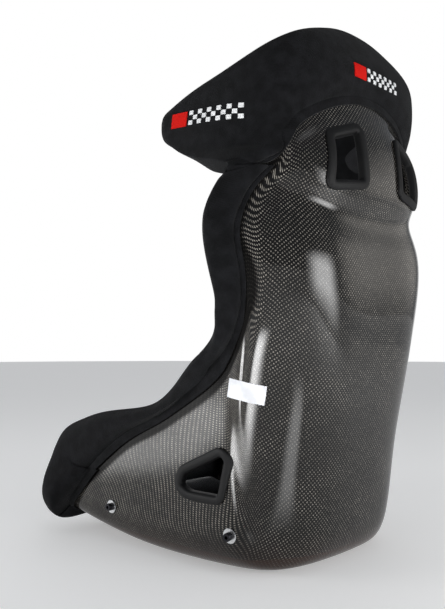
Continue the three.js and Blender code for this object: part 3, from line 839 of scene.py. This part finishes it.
def cut_holes():
    """Takes the slots and the bolt holes out of the laminate."""
    cutters = []
    for name, slot in SLOTS.items():
        for side_name, side in slot["sides"].items():
            levels = slot_rings(slot, side, [(0, 8), (0, -2.5), (0, -14)]).swapaxes(0, 1)
            cutters.append(closed_tube(f"cutter_{name}_{side_name}", levels))
    for y in BOLT_PLACES.values():
        for side in SIDES.values():
            place, turn = bolt_frame(y, side)
            bpy.ops.mesh.primitive_cylinder_add(vertices=32, radius=4.5 * MM, depth=30 * MM,
                                                location=place, rotation=turn)
            cutters.append(bpy.context.object)
    bpy.ops.object.select_all(action="DESELECT")
    for cutter in cutters:
        cutter.select_set(True)
    bpy.context.view_layer.objects.active = cutters[0]
    bpy.ops.object.join()
    cut(shell, bpy.context.object)


cut_holes()
finished(shell, carbon, "carbon_laminate", "seat_shell", smooth=35)

# %% [markdown]
# ## The padded rim
# The rim is foam under cloth that wraps the laminate's edge. Its section changes: fat where it
# carries the thighs, slimmer up the side. A flat band sewn along its outer border lies on the
# carbon, and the full roll starts behind that seam. The laminate's edge is counted by t: along
# the front, up the side, and over the head restraint.


# %% Rim sections
def edge_place(t, side):
    """Station, column and the inward step of the net at a place t on the laminate's edge."""
    u = np.clip(t - HALF, 0, STATIONS)
    v = np.where(t < HALF, t, np.where(t > HALF + STATIONS, 2 * HALF + STATIONS - t, HALF))
    turn = mix(0.0, 1.0, (t - HALF + 2.2) / 4.4)
    reach = 1 + np.sin(turn * math.pi) * 0.42
    return u, v * side, (1 - turn) * reach, -turn * reach * side


def rim_rings(ts, side, profile_at, points):
    """Rings of the padded rim. profile_at(t) gives rows of (net step in, mm past, mm above)."""
    rings = []
    for t in ts:
        profile = profile_at(t, points)
        u, v, in_u, in_v = edge_place(t, side)
        u0, v0 = edge_place(t - 0.3, side)[:2]
        u1, v1 = edge_place(t + 0.3, side)[:2]
        tangent = skin(u1, v1, 0) - skin(u0, v0, 0)
        across = unit(np.cross(outward(u, v), tangent)) * side
        step, past, height = profile.T
        rings.append(skin(u + in_u * step, v + in_v * step, height) + across * past[:, None])
    return np.array(rings)


def rim_profile(points, leg, nose, outer, inner, inner_leg, band=0.3):
    """The section: a flat sewn band, the full roll round the edge, then down the inside."""
    under = -WALL - GAP
    deep = under - inner
    seam = leg - band
    round_part = [
        (leg, 0, GAP), (leg * 1.01, 0, GAP + 2.2), (leg - band / 2, 0, GAP + 3.2),
        (seam + 0.03, 0, GAP + 2.6), (seam, 0, GAP + 1.4), (seam - 0.05, 0, GAP + outer * 0.45),
        (seam * 0.72, 0, GAP + outer * 0.88), (seam * 0.35, 0, GAP + outer * 1.02),
        (0, nose * 0.42, GAP + outer * 0.86), (0, nose * 0.86, GAP * 0.5),
        (0, nose * 0.98, deep * 0.32), (0, nose * 0.72, deep * 0.72), (0, nose * 0.2, deep * 0.97),
        (inner_leg * 0.45, 0, deep * 1.02), (inner_leg * 0.85, 0, deep * 0.9),
        (inner_leg, 0, deep * 0.6), (inner_leg, 0, under),
    ]
    channel = [(0, 0, under), (0, GAP, under), (0, GAP, GAP), (0, 0, GAP)]
    return np.concatenate([curve_through(round_part, points), channel])


def body_profile(t, points):
    """Low along the front, fat at the front corner, and slimmer from the thigh upwards."""
    corner = (t - 3.2) / 2
    up = (t - HALF) / 4
    belly = 26 * math.exp(-(((t - 4.3) / 1.5) ** 2))
    top = (t - 23.0) / 1.5
    return rim_profile(points, leg=covered(t),
                       nose=mix(26, 50, corner) - mix(0, 37, up) - mix(0, 10, top),
                       outer=mix(13, 16, corner) - mix(0, 4, up) + belly,
                       inner=mix(24, 12, up) - mix(0, 6, top), inner_leg=1)


def relaxed(rings, passes):
    """Evens out neighbouring rings, as cloth does over foam. The end rings stay."""
    for _ in range(passes):
        rings[1:-1] = (rings[:-2] + 2 * rings[1:-1] + rings[2:]) / 4
    return rings


print("points round the rim's section:", len(body_profile(HALF, 46)))

# %% Rim rolls
LIP_END = 3.5
RIM_END = HALF + 20.6
SEAM_HEIGHT = 631 * MM


def trim_above(piece, height):
    """Cuts a piece at a height and closes the cut."""
    edit_all(piece, lambda: bpy.ops.mesh.bisect(
        plane_co=(0, 0, height), plane_no=(0, 0, 1), clear_outer=True, use_fill=True))


def rim_side(side):
    """Rings from the middle of the front edge to the head cover, with their places."""
    ts = np.concatenate([np.linspace(0, LIP_END, 36), np.linspace(LIP_END + 0.04, RIM_END, 190)])
    return ts, relaxed(rim_rings(ts, side, body_profile, 46), 6)


halves = {}
for side_name, side in SIDES.items():
    ts, rings = rim_side(side)
    halves[side_name] = rings[ts <= LIP_END]
    roll = closed_tube(f"rim_roll_cover_{side_name}", rings[ts > LIP_END])
    trim_above(roll, SEAM_HEIGHT)
    finished(roll, jersey, "cover_jersey", f"rim_roll_{side_name}", smooth=60)

lip = closed_tube("front_lip_cover", np.concatenate([halves["right"][:0:-1], halves["left"]]))
finished(lip, jersey, "cover_jersey", "front_lip_roll", smooth=60)

# %% [markdown]
# ## Pillows that lie on the shell
# The head cover and every cushion are closed bodies between two heights above the shell, with
# round borders. One helper makes them all: a ring goes up the outer side, round the border, back
# down the inner side, and the rings shrink to a seam at both ends.


# %% Pillow helper
BORDER_STEPS = 7


def pillow_rings(us, vs, outer, inner, nose_low, nose_high, nose_side):
    """Rings of a padded body. us(v) gives the stations, outer and inner give heights in mm, and
    the noses say how far the borders stand out, nose_side(u) at the two ends."""
    turn = np.linspace(0, math.pi / 2, BORDER_STEPS)
    ends = np.concatenate([-turn[:0:-1], np.zeros(len(vs)), turn[1:]])
    extra = np.ones(BORDER_STEPS - 1)
    columns = np.concatenate([extra * vs[0], vs, extra * vs[-1]])
    half_turn = np.linspace(0, math.pi, 2 * BORDER_STEPS + 1)[1:-1]
    rings = []
    for v, end in zip(columns, ends):
        up = us(v)
        flat_up = np.ones(len(up))
        round_end = np.ones(len(half_turn))
        u = np.concatenate([up, round_end * up[-1], up[::-1], round_end * up[0]])
        level = np.concatenate([flat_up, np.cos(half_turn), -flat_up, -np.cos(half_turn)])
        bulge = np.sin(half_turn)
        past = np.concatenate([0 * up, bulge * nose_high, 0 * up, -bulge * nose_low])
        high = outer(u, v)
        low = inner(u, v)
        shrink = math.cos(end)
        height = (high + low) / 2 + level * shrink * (high - low) / 2
        point = skin(u, v, height) + unit(along_u(u, v)) * (past * shrink)[:, None]
        reach = nose_side(u)[:, None] * math.sin(end)
        rings.append(point + unit(along_v(u, v)) * reach)
    return np.array(rings)


print("steps round a pillow's border:", BORDER_STEPS)

# %% [markdown]
# ## The head cover
# One elastic cover is pulled over the whole head restraint. Its hem lies flat on the carbon for
# the width of a finger, and above that seam it fills out. A gusset runs along the thick rim.

# %% Head cover
HEM_BAND = 13
HEM_STEPS = [0, 1.5, 5, 9, 11.5, 12.5, 13, 13.5, 14.5, 17, 22]
HEM_LINE = [(0, 21), (3.6, 21), (4.2, 20.75), (4.6, 20.5), (5.0, 20.3), (5.4, 19.9), (5.8, 19.35),
            (6.2, 19.3), (6.6, 19.75), (7.0, 20.4)]
LEAST_PACE = 22


def hem_at(v):
    """The hem's station, lower at the foot of each wing, and the mm of one station there."""
    hem = eased(HEM_LINE, abs(v), 0.25)
    return hem, max(np.linalg.norm(along_u(hem, v)), LEAST_PACE)


def cover_stations(v):
    """Stations up the cover: close together at the hem band and its seam, even above."""
    hem, pace = hem_at(v)
    low = hem + np.array(HEM_STEPS) / pace
    return np.concatenate([low, np.linspace(low[-1], STATIONS, 46)[1:]])


def above_hem(u, v):
    hem, pace = hem_at(v)
    return (u - hem) * pace


def cover_outer(u, v):
    """Flat at the hem band, a dip at the seam, then full, and thicker beside the rim roll."""
    rise = above_hem(u, v)
    full = mix(2.6, 7.5, (rise - HEM_BAND) / 30)
    groove = 1.6 * np.exp(-(((rise - HEM_BAND) / 1.5) ** 2))
    rim_seam = 1.4 * np.exp(-(((STATIONS - u) / 0.1) ** 2))
    meeting = mix(0, 6, (abs(v) - 5.9) / 0.7) * (1 - mix(0, 1, (u - 21) / 1.2))
    return GAP - 1.4 + full - groove - rim_seam + meeting


def wing_nose(u):
    """The wing's border stands out little at its foot and swells into a round tip."""
    return mix(3, 27, (u - 22.6) / 1.9)


def cover_inner(u, v):
    """Thin behind the hem and thick at the rim, where the foam is."""
    return -WALL - mix(6, 20, (u - HEM) / 1.5) - mix(0, 6, (abs(v) - 4) / 2)


vs = np.linspace(-HALF, HALF, 181)
cover = closed_tube("head_cover", pillow_rings(cover_stations, vs, cover_outer, cover_inner,
                                               1.5, 10, wing_nose))
finished(cover, jersey, "cover_jersey", "head_cover_panel", "head_rim_gusset", smooth=60)

# %% [markdown]
# ## Cushions
# The cushions are foam in velour. Each starts as a flat pillow on the inside of the shell and is
# then inflated as cloth, with its back held where it lies on the laminate, so that the front
# swells and the sides pull in. A cap on the move keeps each one clear of its neighbours. Sculpted
# bulges would need a shape for every cushion, and the simulation finds them all by itself.

# %% Cushion maker
VOXEL = 6 * MM
INFLATE_FRAMES = 20
CLOTH = {"use_pressure": True, "uniform_pressure_force": 4, "vertex_group_mass": "back",
         "quality": 4}
SWELL_CAP = 6 * MM
LYING_WITHIN = 4.5 * MM
BORDER_NOSE = 4.5


def cushion_blank(name, u_span, v_span, thickness):
    """A flat pillow on the inside of the shell."""
    back = -WALL - GAP - 0.5

    def stations_at(v):
        return np.linspace(*u_span, 26)

    def front_height(u, v):
        edge_u = np.minimum(u - u_span[0], u_span[1] - u)
        edge_v = min(v - v_span[0], v_span[1] - v)
        crown = mix(0.0, 1.0, edge_u / 0.7) * mix(0.0, 1.0, edge_v / 0.7)
        return back - thickness * (0.62 + 0.3 * crown)

    def back_height(u, v):
        return back

    vs = np.linspace(*v_span, 26)
    return closed_tube(name, pillow_rings(stations_at, vs, back_height, front_height, BORDER_NOSE,
                                          BORDER_NOSE, lambda u: np.full(u.shape, BORDER_NOSE)))


def inflate(piece, cap):
    """Swells a closed cushion with Cloth. Its back is pinned, and no point moves past the cap."""
    apply(piece, "REMESH", mode="VOXEL", voxel_size=VOXEL)
    before = points_of(piece)
    group = piece.vertex_groups.new(name="back")
    for vertex in piece.data.vertices:
        if shell_tree.find_nearest(vertex.co)[3] < LYING_WITHIN:
            group.add([vertex.index], 1.0, "REPLACE")
    select_only(piece)
    bpy.ops.object.modifier_add(type="CLOTH")
    cloth = piece.modifiers[-1]
    for key, value in CLOTH.items():
        setattr(cloth.settings, key, value)
    cloth.settings.effector_weights.gravity = 0
    cloth.point_cache.frame_end = INFLATE_FRAMES
    for moment in range(1, INFLATE_FRAMES + 1):
        bpy.context.scene.frame_set(moment)
    bpy.ops.object.modifier_apply(modifier=cloth.name)
    bpy.context.scene.frame_set(1)
    move = points_of(piece) - before
    length = np.linalg.norm(move, axis=1, keepdims=True)
    after = before + move * np.minimum(1, cap / np.maximum(length, 1e-9))
    piece.data.vertices.foreach_set("co", after.reshape(-1))
    piece.vertex_groups.clear()
    apply(piece, "SMOOTH", factor=0.5, iterations=3)
    apply(piece, "SUBSURF", levels=1, render_levels=1)


shell_tree = BVHTree.FromObject(shell, bpy.context.evaluated_depsgraph_get())
print("cushions swell for", INFLATE_FRAMES, "frames, by at most", SWELL_CAP / MM, "mm")

# %% Cushions
CUSHIONS = [
    ("seat_cushion_front", (1.05, 2.0), (-2.6, 2.6), 36),
    ("seat_cushion_rear", (2.9, 6.6), (-2.6, 2.6), 30),
    ("lumbar_cushion", (8.5, 12.0), (-2.4, 2.4), 26),
    ("backrest_cushion", (12.4, 16.6), (-2.6, 2.6), 19),
    ("head_cushion", (21.5, 24.0), (-2.4, 2.4), 22),
]
PAIRED = [
    ("thigh_pad", (1.5, 4.0), (5.15, 5.75), 14),
    ("side_pad", (12.5, 16.5), (3.4, 5.7), 17),
    ("head_wing_pad", (21.8, 24.0), (3.6, 6.2), 22),
]
for name, u_span, v_span, thickness in PAIRED:
    CUSHIONS.append((f"{name}_left", u_span, v_span, thickness))
    CUSHIONS.append((f"{name}_right", u_span, (-v_span[1], -v_span[0]), thickness))

for name, u_span, v_span, thickness in CUSHIONS:
    pad = cushion_blank(f"{name}_cover", u_span, v_span, thickness)
    inflate(pad, SWELL_CAP)
    finished(pad, velour, "cushion_velour", name, smooth=180)

# %% [markdown]
# ## Slot bezels
# A moulded bezel clips through each harness slot, so that the webbing doesn't fray on the
# laminate. It is one section carried round the outline, with soft edges and a sleeve that lines
# the cut. A flat trim ring closes it on the inside.

# %% Bezels and trims
BEZEL = [
    (FLANGE, GAP - 1.6), (FLANGE, GAP + 0.2), (FLANGE - 0.5, GAP + 1.6), (FLANGE - 1.8, GAP + 2.5),
    (FLANGE - 4, GAP + 3.0), (4, GAP + 3.2), (1.5, GAP + 2.9), (-0.6, GAP + 2.0), (-2.2, GAP + 0.4),
    (-3, GAP - 1.6), (-3, -WALL - 1), (-0.6, -WALL - 1), (-0.6, GAP - 1.6),
]
TRIM = [
    (FLANGE - 2, -WALL - 1.2), (-3, -WALL - 1.2), (-3, -WALL - 3.2), (-2.2, -WALL - 4),
    (FLANGE - 3.6, -WALL - 4), (FLANGE - 2.2, -WALL - 3.2),
]
for name, slot in SLOTS.items():
    for side_name, side in slot["sides"].items():
        end = f"_{side_name}" if side_name else ""
        ring = closed_tube(f"{name}_bezel{end}_moulded", slot_rings(slot, side, BEZEL), loop=True)
        finished(ring, slot_plastic, "slot_plastic", f"{name}_slot_bezel{end}", smooth=32)
        trim = closed_tube(f"{name}_trim{end}_moulded", slot_rings(slot, side, TRIM), loop=True)
        finished(trim, slot_plastic, "slot_plastic", f"{name}_slot_trim{end}", smooth=50)

# %% [markdown]
# ## Side-mount screws
# Each mount is a plated washer and a black socket-head screw. Both are turned parts, so each is
# spun from its profile, and the socket is a hexagonal cut.


# %% Turned parts
def turned(name, profile, steps=40):
    """Spins a closed profile of (radius, height) points, in mm, about the Z axis."""
    angle = np.linspace(0, 2 * math.pi, steps, endpoint=False)[:, None]
    radius, height = np.array(profile, float).T
    rings = np.stack([np.cos(angle) * radius, np.sin(angle) * radius,
                      height + 0 * angle], axis=-1)
    return closed_tube(name, rings, loop=True)


def sink_socket(piece):
    """Cuts the hexagonal socket into a screw that still stands at the origin."""
    bpy.ops.object.select_all(action="DESELECT")
    bpy.ops.mesh.primitive_cylinder_add(vertices=6, radius=SOCKET_ACROSS_CORNERS / 2 * MM,
                                        depth=2 * SOCKET_DEPTH * MM, location=(0, 0, 10.6 * MM))
    cut(piece, bpy.context.object)


def set_on_bolt(piece, y, side):
    """Moves a part that was made at the origin onto a bolt's axis, and applies the move."""
    piece.location, piece.rotation_euler = bolt_frame(y, side)
    select_only(piece)
    bpy.ops.object.transform_apply(location=True, rotation=True, scale=True)


WASHER = [(4.4, 0.3), (11.5, 0.3), (12, 0.7), (12, 1.7), (11.4, 2.2), (4.9, 2.2), (4.4, 1.8)]
SCREW = [(0.05, -20), (3.6, -20), (4, -19.2), (4, 2.5), (6.5, 2.5), (6.6, 3), (6.6, 9.6),
         (6.1, 10.5), (4.4, 10.6), (0.05, 10.6)]
SOCKET_ACROSS_CORNERS = 6.9
SOCKET_DEPTH = 5
INSERT = [(4.4, -8.3), (11, -8.3), (11, -10), (7, -11), (7, -18), (4.4, -18)]
HARDWARE = {"washer": (WASHER, zinc, "zinc_steel"), "screw": (SCREW, black_oxide, "black_steel"),
            "insert": (INSERT, zinc, "zinc_steel")}

for end_name, y in BOLT_PLACES.items():
    for side_name, side in SIDES.items():
        for part, (profile, material, slot_name) in HARDWARE.items():
            made = turned(f"{part}_{end_name}_{side_name}_turned", profile)
            if part == "screw":
                sink_socket(made)
            set_on_bolt(made, y, side)
            finished(made, material, slot_name, f"mount_{part}_{end_name}_{side_name}", smooth=30)

# %% [markdown]
# ## Embroidered marks
# Each wing and the back of the head restraint carry a small sewn mark: a red block and a
# chequered band in satin stitch. It is plain decoration with no letters. A sheet follows the
# cover, the squares between the white ones are taken out, and the rest gets its thickness, so the
# stitches stand up from the cloth as a painted pattern wouldn't.

# %% Sewn marks
CHEQUERS = (11, 3)
THREADS = 6
COVER_TOP = GAP + 7.2


def sewn_sheet(name, spot, a_span, b_span, columns, rows, height):
    """A sheet on the cover. a runs along the mark and b across it, in mm from its middle."""
    tilt = math.radians(spot["tilt"])

    def place(s, t):
        a = a_span[0] + (a_span[1] - a_span[0]) * s
        b = b_span[0] + (b_span[1] - b_span[0]) * t
        across = spot["middle"][0] + a * math.cos(tilt) - b * math.sin(tilt)
        up = spot["middle"][1] + a * math.sin(tilt) + b * math.cos(tilt)
        u, v = locate(spot["axes"], np.stack([across, up], axis=-1), spot["guess"])
        return skin(u, v, height)

    return shaped_grid(name, columns, rows, place)


def keep_chequers(piece, columns, rows):
    """Deletes every second square, and a thin gap round the ones that stay."""
    select_only(piece)
    bpy.ops.object.mode_set(mode="EDIT")
    bpy.ops.mesh.select_all(action="DESELECT")
    bpy.ops.mesh.select_mode(type="FACE")
    bpy.ops.object.mode_set(mode="OBJECT")
    for polygon in piece.data.polygons:
        column = polygon.index % columns
        row = polygon.index // columns
        dark = (column // THREADS + row // THREADS) % 2 == 1
        gap = column % THREADS == 0 or row % THREADS == 0
        polygon.select = dark or gap
    bpy.ops.object.mode_set(mode="EDIT")
    bpy.ops.mesh.delete(type="FACE")
    bpy.ops.mesh.select_mode(type="VERT")
    bpy.ops.object.mode_set(mode="OBJECT")


def thicken(piece, thickness):
    """Gives a sheet its thickness on the outer side, whichever way its faces point."""
    apply(piece, "SOLIDIFY", thickness=thickness * MM, offset=0)
    edit_all(piece, lambda: bpy.ops.mesh.normals_make_consistent(inside=False))


ON_WING = {"axes": (1, 2), "middle": (104, 729), "tilt": -6, "turn": 1, "grow": (1.1, 0.86)}
MARKS = {
    "wing_mark_left": {**ON_WING, "guess": (23.2, 5.6)},
    "wing_mark_right": {**ON_WING, "guess": (23.2, -5.6)},
    "rear_mark": {"axes": (0, 2), "guess": (22, 0), "middle": (-4, 803), "tilt": 0, "turn": -1,
                  "grow": (0.88, 0.72)},
}
HALF_WIDTH = 14
BAND_SPAN = (-34, 74)
BLOCK_SPAN = (-74, -38)
STITCH_HEIGHT = 1.4
for spot_name, spot in MARKS.items():
    long, wide = spot["grow"]
    along = spot["turn"] * long
    across = (-HALF_WIDTH * wide, HALF_WIDTH * wide)
    columns, rows = (n * THREADS for n in CHEQUERS)
    band = sewn_sheet(f"{spot_name}_chequer", spot, [a * along for a in BAND_SPAN], across,
                      columns, rows, COVER_TOP)
    keep_chequers(band, columns, rows)
    thicken(band, STITCH_HEIGHT)
    finished(band, white_thread, "sewn_thread", spot_name, smooth=50)
    block = sewn_sheet(f"{spot_name}_block", spot, [a * along for a in BLOCK_SPAN], across,
                       12, 9, COVER_TOP)
    thicken(block, STITCH_HEIGHT)
    finished(block, red_thread, "sewn_thread", smooth=50)

# %% [markdown]
# ## The blank label
# A white vinyl label sits on the rear corner of the left side, where the maker writes a date. It
# is left blank.

# %% Label
LABEL = {"axes": (1, 2), "guess": (8.4, 4.7), "middle": (179, 289), "tilt": -13}
label = sewn_sheet("blank_label_sticker", LABEL, (-27, 27), (-15, 15), 20, 8, 0.5)
thicken(label, 0.3)
finished(label, label_vinyl, "label_vinyl", "blank_label", smooth=50)

# %% [markdown]
# ## The floor
# The seat stands on a plain pale floor, which isn't part of it. One wide disc is enough, because
# only the contact shadow and the shell's lowest reflections show it.

# %% Floor
FLOOR_RADIUS = 12

bpy.ops.object.select_all(action="DESELECT")
bpy.ops.mesh.primitive_circle_add(vertices=96, radius=FLOOR_RADIUS, fill_type="NGON",
                                  location=(0, 0, -0.5 * MM))
floor = bpy.context.object
floor.name = "floor"
floor.data.materials.append(floor_paint)
